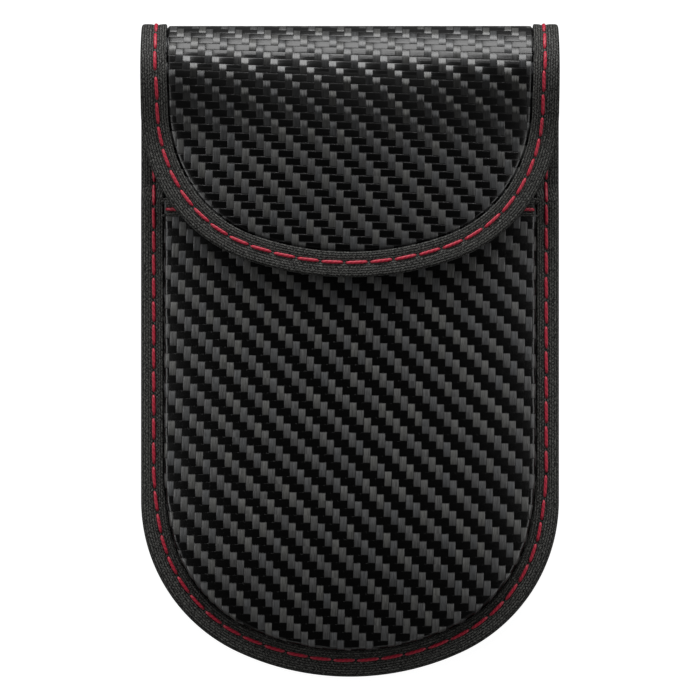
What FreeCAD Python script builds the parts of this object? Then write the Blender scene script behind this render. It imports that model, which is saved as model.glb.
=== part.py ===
"""Faraday key case: a flat leathercloth pouch whose flap folds over the pocket's mouth.

X runs across the pouch, +Y points to the fold at its top and +Z is the front, where the flap lies.
The pouch rests on its back at Z = 0. All sizes are in millimetres and all angles in degrees.
"""
import FreeCAD, Part
import math
import os
from collections import namedtuple

from FreeCAD import Placement, Rotation, Vector

# Outline of the body, over its binding
CASE_LENGTH = 140.0             # bottom edge to the top of the fold
CASE_WIDTH = 90.0
BODY_CORNER_RADIUS = 36.0
BODY_END_ANGLE = 25.0           # half the angle of the flatter arc between the corners

# Outline of the flap, over its binding, and how far its side edges hang below its middle
FLAP_LENGTH = 54.5              # top of the fold to the flap's tip
FLAP_CORNER_RADIUS = 33.5
FLAP_END_ANGLE = 19.4
FLAP_DROOP = 5.5
FLAP_DROOP_RUN = 20.0           # the droop grows from nothing at the fold over this length

# The pocket, its mouth and the bulge of its front panel
MOUTH_DEPTH = 37.3              # top of the fold to the edge of the mouth
POCKET_SPACE = 6.0              # clear depth at the middle
FRONT_BULGE = 5.2               # middle of the front panel above its side edges
SHOULDER_MARGIN = 0.4           # binding's edge to the front panel's rise

# Thickness of each ply, and the room left between plies
LEATHER = 0.8
FOAM = 0.6
SHIELD = 0.2
TAPE = 0.35
PLY_GAP = 0.05
PADDING_MARGIN = 0.5            # room round the foam's edge
PADDING_SHORT_OF_FOLD = 2.0

# Binding tape: the leg outside the back and flap, the leg inside them, and the mouth's legs
OUTER_LEG = 5.6
INNER_LEG = 4.8
MOUTH_LEG = 4.0

# Red seams through the binding
THREAD_WIDTH = 0.8
THREAD_HEIGHT = 0.35
STITCH_PITCH = 4.8
STITCH_GAP = 0.85               # between one stitch and the next
BODY_SEAM_INSET = 2.9
FLAP_SEAM_INSET = 3.3
MOUTH_SEAM_INSET = 2.5
FOLD_STITCH_ANGLE = 32.0        # each stitch spans this much of the fold

# Hook and loop strips that hold the flap closed
STRIP_WIDTH = 10.0
LOOP_STRIP_LENGTH = 32.0
HOOK_STRIP_LENGTH = 28.0
STRIP_THICKNESS = 0.7
STRIP_BASE = 0.3
STRIP_SELVAGE = 1.2             # bare margin that takes the stitches
STRIP_MARGIN = 0.3              # loop strip to the mouth's binding
HOOK_STRIP_RISE = 7.4           # flap's tip to the hook strip
CLOSURE_GAP = 0.3               # between the tips of the hooks and the loops
STRIP_THREAD_WIDTH = 0.4
STRIP_THREAD_HEIGHT = 0.25
STRIP_STITCH_PITCH = 2.6
STRIP_STITCH_GAP = 0.6

# The fold bends at two creases, each a quarter turn, measured round the fold from the back
BACK_CREASE_ANGLE = 45.0
FRONT_CREASE_ANGLE = 135.0
FLAP_ANGLE = 180.0              # where the fold runs out into the flap
CREASE_GAP = 0.1

# Places along the pouch, with the seam's thread counted in the overall length
edge = TAPE + PLY_GAP
seam_rise = PLY_GAP + THREAD_HEIGHT
half_width = CASE_WIDTH / 2
y_bottom = -(CASE_LENGTH + seam_rise) / 2
y_top = y_bottom + CASE_LENGTH
y_tip = y_top - FLAP_LENGTH
y_mouth_edge = y_top - MOUTH_DEPTH
y_mouth = y_mouth_edge - edge

# Heights at the sewn rim: the lower face of each ply, from the back to the front
z_leather = edge
z_outer = z_leather + LEATHER + PLY_GAP
z_inner = z_outer + SHIELD + PLY_GAP
z_neck_leg = z_inner + SHIELD + PLY_GAP
z_front_inner = z_neck_leg
z_front_outer = z_front_inner + SHIELD + PLY_GAP
z_front_leather = z_front_outer + SHIELD + PLY_GAP
z_front_leg = z_front_leather + LEATHER + PLY_GAP
z_rim = z_front_leg + TAPE

# Heights down the middle: the pocket's floor and ceiling, then the front's plies and the closure
padding_lift = FOAM + PLY_GAP
z_floor = z_inner + padding_lift + SHIELD
z_ceiling = z_floor + POCKET_SPACE
z_inner_top = z_ceiling + SHIELD
z_outer_top = z_inner_top + PLY_GAP + SHIELD
z_foam_top = z_outer_top + PLY_GAP + FOAM
z_crown = z_foam_top + PLY_GAP + LEATHER
z_loop = z_crown + PLY_GAP
z_hook_tips = z_loop + STRIP_THICKNESS + CLOSURE_GAP
z_flap_lining = z_hook_tips + STRIP_THICKNESS + PLY_GAP

# The flap's plies mirror the back's about the fold's axis
z_fold = (z_floor + z_flap_lining) / 2
y_fold = y_top - z_fold
y_past_fold = y_fold + TAPE

# How far each wall of the raised front lies inside the outline
front_inset = INNER_LEG + SHOULDER_MARGIN
front_foam_inset = front_inset + LEATHER + PLY_GAP
front_outer_inset = front_foam_inset + FOAM + PLY_GAP
front_inner_inset = front_outer_inset + SHIELD + PLY_GAP
back_padding_inset = front_inner_inset + SHIELD + PADDING_MARGIN
flap_padding_inset = INNER_LEG + PADDING_MARGIN
y_padding_top = y_fold - PADDING_SHORT_OF_FOLD

# The front's bulge as an arc across the pouch
front_span = half_width - front_inset
front_radius = (front_span ** 2 + FRONT_BULGE ** 2) / (2 * FRONT_BULGE)

Outline = namedtuple("Outline", "end_y corner_radius end_angle droop")
BODY = Outline(y_bottom, BODY_CORNER_RADIUS, BODY_END_ANGLE, 0)
FLAP = Outline(y_tip, FLAP_CORNER_RADIUS, FLAP_END_ANGLE, FLAP_DROOP)
reach = CASE_LENGTH + CASE_WIDTH


def corner_centre(outline):
    """The corner arcs' centre, as far out from the middle and as far along the pouch."""
    centre_x = half_width - outline.corner_radius
    lean = math.radians(outline.end_angle)
    end_arc_above = centre_x / math.sin(lean)
    end_radius = outline.corner_radius + end_arc_above
    return centre_x, outline.end_y + end_radius - end_arc_above * math.cos(lean)


def outline_path(outline, inset, top):
    """Edges down one side, round the end and up the other side: lines and three tangent arcs."""
    centre_x, corner_y = corner_centre(outline)
    lean = math.radians(outline.end_angle)
    middle = (math.pi / 2 + lean) / 2
    side = half_width - inset
    corner = outline.corner_radius - inset

    def on_corner(sign, angle):
        across = centre_x + corner * math.sin(angle)
        return Vector(sign * across, corner_y - corner * math.cos(angle), 0)

    lowest = Vector(0, outline.end_y + inset, 0)
    return [
        Part.LineSegment(Vector(-side, top, 0), Vector(-side, corner_y, 0)).toShape(),
        Part.Arc(Vector(-side, corner_y, 0), on_corner(-1, middle), on_corner(-1, lean)).toShape(),
        Part.Arc(on_corner(-1, lean), lowest, on_corner(1, lean)).toShape(),
        Part.Arc(on_corner(1, lean), on_corner(1, middle), Vector(side, corner_y, 0)).toShape(),
        Part.LineSegment(Vector(side, corner_y, 0), Vector(side, top, 0)).toShape(),
    ]


def prism(outline, inset, top, z_low, z_high):
    """The inset outline, closed straight across at the given top, as an upright block."""
    edges = outline_path(outline, inset, top)
    side = half_width - inset
    edges.append(Part.LineSegment(Vector(side, top, 0), Vector(-side, top, 0)).toShape())
    face = Part.Face(Part.Wire(edges))
    face.translate(Vector(0, 0, z_low))
    return face.extrude(Vector(0, 0, z_high - z_low))


def drooping_layer(outline, z_low, z_high):
    """A layer that is flat at the fold and rises with the square of X along a smooth step in Y.

    It is made on the back's side of the fold, so what rises here hangs down once it is turned over.
    """
    columns = 7
    rows = 15
    x_reach = half_width + OUTER_LEG
    step = (y_fold - outline.end_y + OUTER_LEG) / (rows - 2)
    grid = []
    for row in range(rows):
        y = y_fold + step - row * step
        part_way = min(1, max(0, (y_fold - y) / FLAP_DROOP_RUN))
        share = part_way ** 2 * (3 - 2 * part_way)
        line_across = []
        for column in range(columns):
            x = x_reach * (2 * column / (columns - 1) - 1)
            rise = outline.droop * share * (x / half_width) ** 2
            line_across.append(Vector(x, y, z_low + rise))
        grid.append(line_across)
    surface = Part.BSplineSurface()
    surface.interpolate(grid)
    return surface.toShape().extrude(Vector(0, 0, z_high - z_low))


def slab(outline, inset, top, z_low, z_high):
    """A plate of the inset outline between two heights of the stack, flat or drooping."""
    if outline.droop == 0:
        return prism(outline, inset, top, z_low, z_high)
    return drooping_layer(outline, z_low, z_high).common(prism(outline, inset, top, -reach, reach))


def below_y(shape, y):
    """The part of a shape on the pocket's side of a cut straight across the pouch."""
    return shape.common(Part.makeBox(2 * reach, reach, 2 * reach, Vector(-reach, y - reach, -reach)))


def above_y(shape, y):
    """The part of a shape on the fold's side of a cut straight across the pouch."""
    return shape.common(Part.makeBox(2 * reach, reach, 2 * reach, Vector(-reach, y, -reach)))


def joined(shapes):
    """One solid from shapes that meet face to face."""
    return shapes[0].multiFuse(shapes[1:]).removeSplitter()


def ring_sector(inner, outer, start, end, length):
    """A stretch of a round band about Z, its angles counted from +X."""

    def point(radius, angle):
        turn = math.radians(angle)
        return Vector(radius * math.cos(turn), radius * math.sin(turn), 0)

    middle = (start + end) / 2
    wire = Part.Wire([
        Part.Arc(point(outer, start), point(outer, middle), point(outer, end)).toShape(),
        Part.LineSegment(point(outer, end), point(inner, end)).toShape(),
        Part.Arc(point(inner, end), point(inner, middle), point(inner, start)).toShape(),
        Part.LineSegment(point(inner, start), point(outer, start)).toShape(),
    ])
    return Part.Face(wire).extrude(Vector(0, 0, length))


def fold_band(z_low, z_high, start, end, x_low, x_high):
    """The stretch of a ply that runs round the fold, from the heights it has on the back."""
    band = ring_sector(z_fold - z_high, z_fold - z_low, start, end, x_high - x_low)
    turn = Rotation(Vector(0, 0, -1), Vector(0, 1, 0), Vector(1, 0, 0))
    band.Placement = Placement(Vector(x_low, y_fold, z_fold), turn)
    return band


def mirrored_to_flap(shape):
    """A shape on the back's side of the fold, turned over to the flap's side."""
    return shape.mirror(Vector(0, 0, z_fold), Vector(0, 0, 1))


def mirrored_across(shape):
    """A shape on the right, turned over to the left."""
    return shape.mirror(Vector(0, 0, 0), Vector(1, 0, 0))


crease_half_gap = math.degrees(CREASE_GAP / 2 / z_fold)
back_quarter = (0, BACK_CREASE_ANGLE - crease_half_gap)
spine = (BACK_CREASE_ANGLE + crease_half_gap, FRONT_CREASE_ANGLE - crease_half_gap)
ply_half_width = half_width - edge


def ply_band(z_low, z_high, stretch):
    """A ply of full width round a stretch of the fold."""
    return fold_band(z_low, z_high, *stretch, -ply_half_width, ply_half_width)


def leather_sheet(outline):
    """The leathercloth of the back or flap, with its part of the fold."""
    sheet = slab(outline, edge, y_fold, z_leather, z_leather + LEATHER)
    return joined([sheet, ply_band(z_leather, z_leather + LEATHER, back_quarter)])


def shield_sheet(outline, z_low, wall_inset, wall_top):
    """Shielding cloth, sewn in at the rim and lifted over the foam, with its part of the fold."""
    z_high = z_low + padding_lift + SHIELD
    sheet = slab(outline, edge, y_fold, z_low, z_high)
    over_rim = slab(outline, 0, y_past_fold, z_low + SHIELD, z_high + SHIELD)
    over_rim = over_rim.cut(prism(outline, wall_inset, wall_top, -reach, reach))
    hollow = slab(outline, wall_inset + SHIELD, wall_top - SHIELD, z_low - SHIELD, z_low + padding_lift)
    sheet = sheet.cut(over_rim).cut(hollow)
    return joined([sheet, ply_band(z_low, z_low + SHIELD, back_quarter)])


def padded_side(outline, padding_inset):
    """The plies of the back or flap: leathercloth, foam and two layers of shielding cloth."""
    nest = SHIELD + PLY_GAP
    inner = shield_sheet(outline, z_inner, padding_inset, y_padding_top)
    outer = shield_sheet(outline, z_outer, padding_inset + nest, y_padding_top - nest)
    foam = slab(outline, padding_inset + 2 * nest, y_padding_top - 2 * nest, z_outer, z_outer + FOAM)
    return {"panel": leather_sheet(outline), "foam": foam, "shield_outer": outer, "shield_inner": inner}


def binding_channel(outline, leg_z):
    """Tape folded round the sides and end: a leg on each face and a web round the edge."""
    half_way = (TAPE + leg_z) / 2
    channel = slab(outline, 0, y_fold, 0, leg_z + TAPE)
    channel = channel.cut(slab(outline, TAPE, y_past_fold, TAPE, leg_z))
    channel = channel.cut(slab(outline, OUTER_LEG, y_past_fold, -TAPE, half_way))
    return channel.cut(slab(outline, INNER_LEG, y_past_fold, half_way, leg_z + 2 * TAPE))


def binding_round_fold(stretch):
    """The same tape where it turns over the fold, right and left."""
    right = joined([
        fold_band(0, TAPE, *stretch, half_width - OUTER_LEG, half_width),
        fold_band(0, z_neck_leg + TAPE, *stretch, half_width - TAPE, half_width),
        fold_band(z_neck_leg, z_neck_leg + TAPE, *stretch, half_width - INNER_LEG, half_width),
    ])
    return [right, mirrored_across(right)]


def front_barrel(z_high):
    """A round bar along the pouch whose upper side is the front's bulge, at a height of its middle."""
    _, corner_y = corner_centre(BODY)
    centre = Vector(0, corner_y, z_crown - front_radius)
    return Part.makeCylinder(front_radius - (z_crown - z_high), reach, centre, Vector(0, 1, 0))


def front_ball(z_high):
    """The ball that carries the same bulge on round the pouch's end."""
    _, corner_y = corner_centre(BODY)
    centre = Vector(0, corner_y, z_crown - front_radius)
    return Part.makeSphere(front_radius - (z_crown - z_high), centre, Vector(0, 1, 0))


def front_dome(inset, z_low, z_high):
    """The raised front as a block with upright sides and a bulging top, run past the mouth."""
    _, corner_y = corner_centre(BODY)
    block = prism(BODY, inset, y_mouth_edge + edge, z_low, z_high)
    sides = above_y(block, corner_y).common(front_barrel(z_high))
    end = below_y(block, corner_y).common(front_ball(z_high))
    return joined([sides, end])


def front_ply(inset, z_low, z_high, thickness):
    """A ply of the front wall: a flange in the sewn rim and a raised face, cut off at the mouth."""
    flange = prism(BODY, edge, y_mouth, z_low, z_low + thickness)
    raised = flange.fuse(front_dome(inset, z_low, z_high))
    hollow = front_dome(inset + thickness, z_low, z_high - thickness)
    return below_y(raised.cut(hollow), y_mouth)


def front_padding():
    """Foam behind the front panel's face and edges, with no flange in the rim."""
    outside = front_dome(front_foam_inset, z_front_leather, z_foam_top)
    inside = front_dome(front_foam_inset + FOAM, z_front_leather, z_foam_top - FOAM)
    return below_y(outside.cut(inside), y_mouth)


def mouth_tape():
    """Tape folded over the front wall's top edge, from one side binding to the other."""
    low = z_rim + PLY_GAP
    lining_inset = front_inner_inset + SHIELD + PLY_GAP
    outside = front_dome(front_inset - edge, low, z_crown + edge)
    over_panel = front_dome(front_inset - PLY_GAP, low, z_crown + PLY_GAP)
    under_lining = front_dome(lining_inset, low, z_ceiling - PLY_GAP)
    inside = front_dome(lining_inset + TAPE, low, z_ceiling - edge)
    legs = outside.cut(over_panel).fuse(under_lining.cut(inside))
    legs = below_y(above_y(legs, y_mouth_edge - MOUTH_LEG), y_mouth_edge)
    web = below_y(above_y(outside.cut(inside), y_mouth_edge - TAPE), y_mouth_edge)
    return joined([legs, web])


def on_flat(shape, z_low, z_high):
    """The part of an upright block that lies between two heights."""
    return shape.common(Part.makeBox(2 * reach, 2 * reach, z_high - z_low, Vector(-reach, -reach, z_low)))


def on_front(shape, z_low, z_high):
    """The part of an upright block that lies between two heights of the front's bulge."""
    above_axis = on_flat(shape, 0, z_high)
    return above_axis.common(front_barrel(z_high)).cut(front_barrel(z_low))


def on_flap(shape, z_low, z_high):
    """The part of an upright block that lies between two heights of the drooping flap."""
    return shape.common(drooping_layer(FLAP, z_low, z_high))


def dash(start, end, gap, width):
    """One stitch as an upright block: a bar between two points of its seam, short of them by the gap."""
    run = end - start
    length = run.Length - gap
    bar = Part.makeBox(length, width, 2 * reach, Vector(-length / 2, -width / 2, -reach))
    middle = (start + end) * 0.5
    heading = math.degrees(math.atan2(run.y, run.x))
    bar.Placement = Placement(Vector(middle.x, middle.y, 0), Rotation(Vector(0, 0, 1), heading)) * bar.Placement
    return bar


def seam(edges, pitch=STITCH_PITCH, gap=STITCH_GAP, width=THREAD_WIDTH):
    """Stitches spaced evenly along a path, as upright blocks."""
    path = Part.Wire(edges)
    count = max(1, round(path.Length / pitch))
    points = path.discretize(Number=count + 1)
    return [dash(a, b, gap, width) for a, b in zip(points, points[1:])]


def laid(blocks, lie, z_low, height):
    """Upright blocks cut down to a thickness that lies on a surface."""
    solids = []
    for block in blocks:
        solids += lie(block, z_low, z_low + height).Solids
    return solids


def line(x_start, y_start, x_end, y_end):
    """A straight stretch of a seam."""
    return Part.LineSegment(Vector(x_start, y_start, 0), Vector(x_end, y_end, 0)).toShape()


def body_seam():
    """Stitches on the front of the body's binding, and on its thinner stretch beside the mouth."""
    round_pocket = seam(outline_path(BODY, BODY_SEAM_INSET, y_mouth_edge))
    x = half_width - BODY_SEAM_INSET
    beside_mouth = []
    for side in (-1, 1):
        beside_mouth += seam([line(side * x, y_mouth_edge, side * x, y_fold)])
    stitches = laid(round_pocket, on_flat, z_rim + PLY_GAP, THREAD_HEIGHT)
    stitches += laid(beside_mouth, on_flat, z_neck_leg + TAPE + PLY_GAP, THREAD_HEIGHT)
    return Part.makeCompound(stitches)


def fold_stitches(middle):
    """The pair of stitches at one place round the fold, right and left."""
    x = half_width - FLAP_SEAM_INSET
    half = FOLD_STITCH_ANGLE / 2
    stretch = (middle - half, middle + half)
    right = fold_band(-seam_rise, -PLY_GAP, *stretch, x - THREAD_WIDTH / 2, x + THREAD_WIDTH / 2)
    return [right, mirrored_across(right)]


def flap_seam():
    """Stitches on the outside of the flap's binding, on the back's side of the fold."""
    return laid(seam(outline_path(FLAP, FLAP_SEAM_INSET, y_fold)), on_flap, -seam_rise, THREAD_HEIGHT)


def mouth_seam():
    """Stitches along the mouth's binding, from side to side."""
    y = y_mouth_edge - MOUTH_SEAM_INSET
    along_mouth = seam([line(-front_span, y, front_span, y)])
    return Part.makeCompound(laid(along_mouth, on_front, z_crown + edge + PLY_GAP, THREAD_HEIGHT))


def strip_block(length, y_low, inset):
    """A strip's outline, less an inset, as an upright block."""
    corner = Vector(inset - length / 2, y_low + inset, -reach)
    return Part.makeBox(length - 2 * inset, STRIP_WIDTH - 2 * inset, 2 * reach, corner)


def fastener_strip(length, y_low, z, lie):
    """A hook or loop strip on a surface: a woven base, with a bare margin round a raised field."""
    block = strip_block(length, y_low, 0)
    margin = strip_block(length, y_low, -STRIP_SELVAGE).cut(strip_block(length, y_low, STRIP_SELVAGE))
    strip = lie(block, z, z + STRIP_THICKNESS)
    return strip.cut(lie(margin, z + STRIP_BASE, z + 2 * STRIP_THICKNESS))


def strip_seam(length, y_low, z, lie):
    """Stitches along the four sides of a strip's bare margin."""
    inset = STRIP_SELVAGE / 2
    x = length / 2 - inset
    low = y_low + inset
    high = y_low + STRIP_WIDTH - inset
    sides = [line(-x, low, x, low), line(-x, high, x, high), line(-x, low, -x, high), line(x, low, x, high)]
    stitches = []
    for side in sides:
        blocks = seam([side], STRIP_STITCH_PITCH, STRIP_STITCH_GAP, STRIP_THREAD_WIDTH)
        stitches += laid(blocks, lie, z + STRIP_BASE + PLY_GAP, STRIP_THREAD_HEIGHT)
    return Part.makeCompound(stitches)


pieces = {}

# Back and flap, each with its plies
for name, shape in padded_side(BODY, back_padding_inset).items():
    pieces["back_" + name] = shape
for name, shape in padded_side(FLAP, flap_padding_inset).items():
    pieces["flap_" + name] = mirrored_to_flap(shape)

# The spine of the fold, between its two creases
pieces["fold_panel"] = ply_band(z_leather, z_leather + LEATHER, spine)
pieces["fold_shield_outer"] = ply_band(z_outer, z_outer + SHIELD, spine)
pieces["fold_shield_inner"] = ply_band(z_inner, z_inner + SHIELD, spine)

# Front wall of the pocket
pieces["front_panel"] = front_ply(front_inset, z_front_leather, z_crown, LEATHER)
pieces["front_foam"] = front_padding()
pieces["front_shield_outer"] = front_ply(front_outer_inset, z_front_outer, z_outer_top, SHIELD)
pieces["front_shield_inner"] = front_ply(front_inner_inset, z_front_inner, z_inner_top, SHIELD)

# Binding tape: thick round the pocket, thinner beside the mouth, then over the fold and round the flap
rim_channel = below_y(binding_channel(BODY, z_front_leg), y_mouth_edge)
neck_channel = above_y(binding_channel(BODY, z_neck_leg), y_mouth_edge)
pieces["body_binding"] = joined([rim_channel, neck_channel] + binding_round_fold(back_quarter))
pieces["fold_binding"] = Part.makeCompound(binding_round_fold(spine))
flap_channel = joined([binding_channel(FLAP, z_neck_leg)] + binding_round_fold(back_quarter))
pieces["flap_binding"] = mirrored_to_flap(flap_channel)
pieces["mouth_binding"] = mouth_tape()

# Red seams
flap_stitch_place = (FRONT_CREASE_ANGLE + FLAP_ANGLE) / 2
spine_step = (FRONT_CREASE_ANGLE - BACK_CREASE_ANGLE) / 4
pieces["body_stitching"] = body_seam()
pieces["fold_stitching"] = Part.makeCompound(
    fold_stitches(BACK_CREASE_ANGLE + spine_step) + fold_stitches(FRONT_CREASE_ANGLE - spine_step))
pieces["flap_stitching"] = Part.makeCompound(
    [mirrored_to_flap(stitch) for stitch in flap_seam()] + fold_stitches(flap_stitch_place))
pieces["mouth_stitching"] = mouth_seam()

# Hook and loop closure: loops on the front panel, hooks under the flap
y_loop = y_mouth_edge - MOUTH_LEG - STRIP_MARGIN - STRIP_WIDTH
y_hook = y_tip + HOOK_STRIP_RISE
loops = (LOOP_STRIP_LENGTH, y_loop, z_loop, on_front)
hooks = (HOOK_STRIP_LENGTH, y_hook, z_floor + PLY_GAP, on_flap)
pieces["loop_strip"] = fastener_strip(*loops)
pieces["loop_strip_stitching"] = strip_seam(*loops)
pieces["hook_strip"] = mirrored_to_flap(fastener_strip(*hooks))
pieces["hook_strip_stitching"] = mirrored_to_flap(strip_seam(*hooks))

os.makedirs("parts", exist_ok=True)
for name, shape in pieces.items():
    shape.exportStep("parts/" + name + ".step")
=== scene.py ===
import math

import bmesh
import bpy
import numpy as np
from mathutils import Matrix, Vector


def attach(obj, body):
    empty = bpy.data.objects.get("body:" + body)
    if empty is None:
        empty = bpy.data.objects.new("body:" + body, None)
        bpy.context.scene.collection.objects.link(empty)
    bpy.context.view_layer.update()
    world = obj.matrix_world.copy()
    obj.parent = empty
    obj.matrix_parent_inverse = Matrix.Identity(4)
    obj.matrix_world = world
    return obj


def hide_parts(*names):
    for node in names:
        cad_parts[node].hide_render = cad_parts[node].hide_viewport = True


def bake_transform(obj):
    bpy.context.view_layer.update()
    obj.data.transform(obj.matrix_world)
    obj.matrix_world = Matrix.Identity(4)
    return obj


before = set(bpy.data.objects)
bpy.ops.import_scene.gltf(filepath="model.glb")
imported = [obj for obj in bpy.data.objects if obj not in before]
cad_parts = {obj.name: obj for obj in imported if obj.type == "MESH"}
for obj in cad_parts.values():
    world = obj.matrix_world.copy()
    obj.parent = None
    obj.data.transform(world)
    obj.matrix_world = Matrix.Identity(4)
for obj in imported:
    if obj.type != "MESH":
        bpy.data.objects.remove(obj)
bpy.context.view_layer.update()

scene = bpy.context.scene
scene.view_settings.view_transform = "Standard"

# Camera: it looks straight down on the pouch, which lies on its back with the fold at the top of the
# picture. The 700 pixel frame takes in 150.5 mm at the height of the sewn rim.
MM = 0.001
CAMERA_HEIGHT = 900.0
FRAME_SPAN = 150.5
FRAME_SPAN_HEIGHT = 3.4
FRAME_MIDDLE_Y = -0.15
SENSOR = 36.0

lens = bpy.data.cameras.new("camera")
lens.sensor_width = SENSOR
lens.lens = SENSOR * (CAMERA_HEIGHT - FRAME_SPAN_HEIGHT) / FRAME_SPAN
camera = bpy.data.objects.new("camera", lens)
camera.location = (0.0, FRAME_MIDDLE_Y * MM, CAMERA_HEIGHT * MM)
scene.collection.objects.link(camera)
scene.camera = camera

# Floor and backdrop: a round sweep of seamless white paper, flat under the pouch and curling up far
# from it. The camera sees it white, with the pouch's soft shadow on it.
PAPER_DROP = 0.3
PAPER_PROFILE = np.array([
    (0, 0), (400, 0), (900, 0), (1250, 0), (1450, 60), (1560, 220), (1600, 650),
], dtype=float)
PAPER_COLOUR = "#4c4c4c"
PAPER_SHADOWED = "#7a7a7a"
PAPER_GLOW = 0.95
PAPER_IN_GLOSS = 0.05  # how much of its white the gloss of the cloth shows
PAPER_TURNS = 97
MERGE_WITHIN = 0.002


def to_linear(colour):
    """sRGB hex to linear RGBA: a straight line for the darkest values and a power of 2.4 above them."""
    values = [int(colour[place:place + 2], 16) / 255 for place in (1, 3, 5)]
    linear = [v / 12.92 if v <= 0.04045 else ((v + 0.055) / 1.055) ** 2.4 for v in values]
    return (*linear, 1.0)


def node_adder(owner):
    """Empties the nodes of a material or world, and gives the function that adds one node to them.

    It takes a kind, or a Math node's operation in capitals, then the inputs and the settings. Inputs come
    in the order of the sockets or as one table by socket; each is a value, or a node or output to link.
    """
    def add(kind, *inputs, **settings):
        node = tree.nodes.new("ShaderNodeMath" if kind.isupper() else "ShaderNode" + kind)
        if kind.isupper():
            node.operation = kind
        for key, value in settings.items():
            setattr(node, key, value)
        by_socket = inputs[0] if inputs and isinstance(inputs[0], dict) else dict(enumerate(inputs))
        for socket, value in by_socket.items():
            source = value.outputs[0] if isinstance(value, bpy.types.Node) else value
            if isinstance(source, bpy.types.NodeSocket):
                tree.links.new(source, node.inputs[socket])
            else:
                node.inputs[socket].default_value = source
        return node

    owner.use_nodes = True
    tree = owner.node_tree
    tree.nodes.clear()
    return add


def join(*values):
    """Points or flat places from arrays of their X, Y and Z, spread to one shape."""
    return np.stack(np.broadcast_arrays(*values), axis=-1)


def lay_surface(name, points, uv, material, flip=False, closed=False):
    """Makes one piece from grids of points in millimetres, each four neighbours joined by a face.

    points has the shape (rows, columns, 3), or (grids, rows, columns, 3), and uv the same with 2 at its
    end. Points that fall together are merged, which closes seams and tips; a closed piece gets its faces
    turned outwards.
    """
    rows, columns = points.shape[-3:-1]
    index = np.arange(points.size // 3).reshape(-1, rows, columns)
    corners = [index[:, :-1, :-1], index[:, :-1, 1:], index[:, 1:, 1:], index[:, 1:, :-1]]
    if flip:
        corners.reverse()
    quads = np.stack(corners, axis=-1).reshape(-1, 4)
    mesh = bpy.data.meshes.new(name)
    mesh.from_pydata((points.reshape(-1, 3) * MM).tolist(), [], quads.tolist())
    mesh.uv_layers.new(name="cloth").data.foreach_set("uv", uv.reshape(-1, 2)[quads.ravel()].ravel())
    mesh.polygons.foreach_set("use_smooth", np.ones(len(quads), dtype=bool))
    sewn = bmesh.new()
    sewn.from_mesh(mesh)
    bmesh.ops.remove_doubles(sewn, verts=sewn.verts, dist=MERGE_WITHIN * MM)
    if closed:
        bmesh.ops.recalc_face_normals(sewn, faces=sewn.faces)
    sewn.to_mesh(mesh)
    sewn.free()
    mesh.materials.append(material)
    piece = bpy.data.objects.new(name, mesh)
    scene.collection.objects.link(piece)
    return piece


# Matt paper: white to the camera and darkened by the shadow, dull grey to the light it sends back.
paper = bpy.data.materials.new("matt white paper")
add = node_adder(paper)
rays = add("LightPath").outputs
lit = add("BsdfDiffuse", to_linear(PAPER_COLOUR))
shaded = add("BsdfDiffuse", to_linear(PAPER_SHADOWED))
glow = add("Emission", {"Strength": PAPER_GLOW})
shown = add("AddShader", shaded, glow)
in_gloss = add("MULTIPLY_ADD", rays["Is Glossy Ray"], PAPER_IN_GLOSS, rays["Is Camera Ray"])
white_share = add("MAXIMUM", in_gloss, rays["Is Transmission Ray"])
add("OutputMaterial", add("MixShader", white_share, lit, shown))

turn = np.linspace(0, 2 * math.pi, PAPER_TURNS)[None, :]
out, height = PAPER_PROFILE[:, :1], PAPER_PROFILE[:, 1:] - PAPER_DROP
paper_points = join(out * np.cos(turn), out * np.sin(turn), height)
sweep = lay_surface("paper_sweep", paper_points, paper_points[..., :2], paper, flip=True)

# Lights: a wide softbox stands low behind the fold and lights its round, with weaker ones at the
# left, the right and the foot. The room above is dark, so the flat weave stays deep black.
SOFTBOXES = (
    ("fold_softbox", (0, 640, 270), (1000, 420), 7.6),
    ("left_softbox", (-640, 60, 360), (600, 400), 2.75),
    ("right_softbox", (640, -40, 360), (600, 400), 2.1),
    ("foot_softbox", (0, -700, 170), (600, 200), 0.8),
)
ROOM_COLOUR = "#ffffff"
ROOM_AT_HORIZON = 0.4
ROOM_OVERHEAD = 0.015
ROOM_FADE = (0.3, 0.75)  # heights of the view direction between which the room darkens

for name, place, size, brightness in SOFTBOXES:
    lamp = bpy.data.lights.new(name, "AREA")
    lamp.shape = "RECTANGLE"
    lamp.size = size[0] * MM
    lamp.size_y = size[1] * MM
    lamp.energy = brightness * math.pi * lamp.size * lamp.size_y
    stand = bpy.data.objects.new(name, lamp)
    stand.location = Vector(place) * MM
    stand.rotation_euler = (-stand.location).to_track_quat("-Z", "Y").to_euler()
    scene.collection.objects.link(stand)

room = bpy.data.worlds.new("studio room")
scene.world = room
add = node_adder(room)
upward = add("SeparateXYZ", add("TexCoord").outputs["Generated"])
level = add("MapRange", upward.outputs["Z"], *ROOM_FADE, ROOM_AT_HORIZON, ROOM_OVERHEAD)
add("OutputWorld", add("Background", to_linear(ROOM_COLOUR), level))

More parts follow.
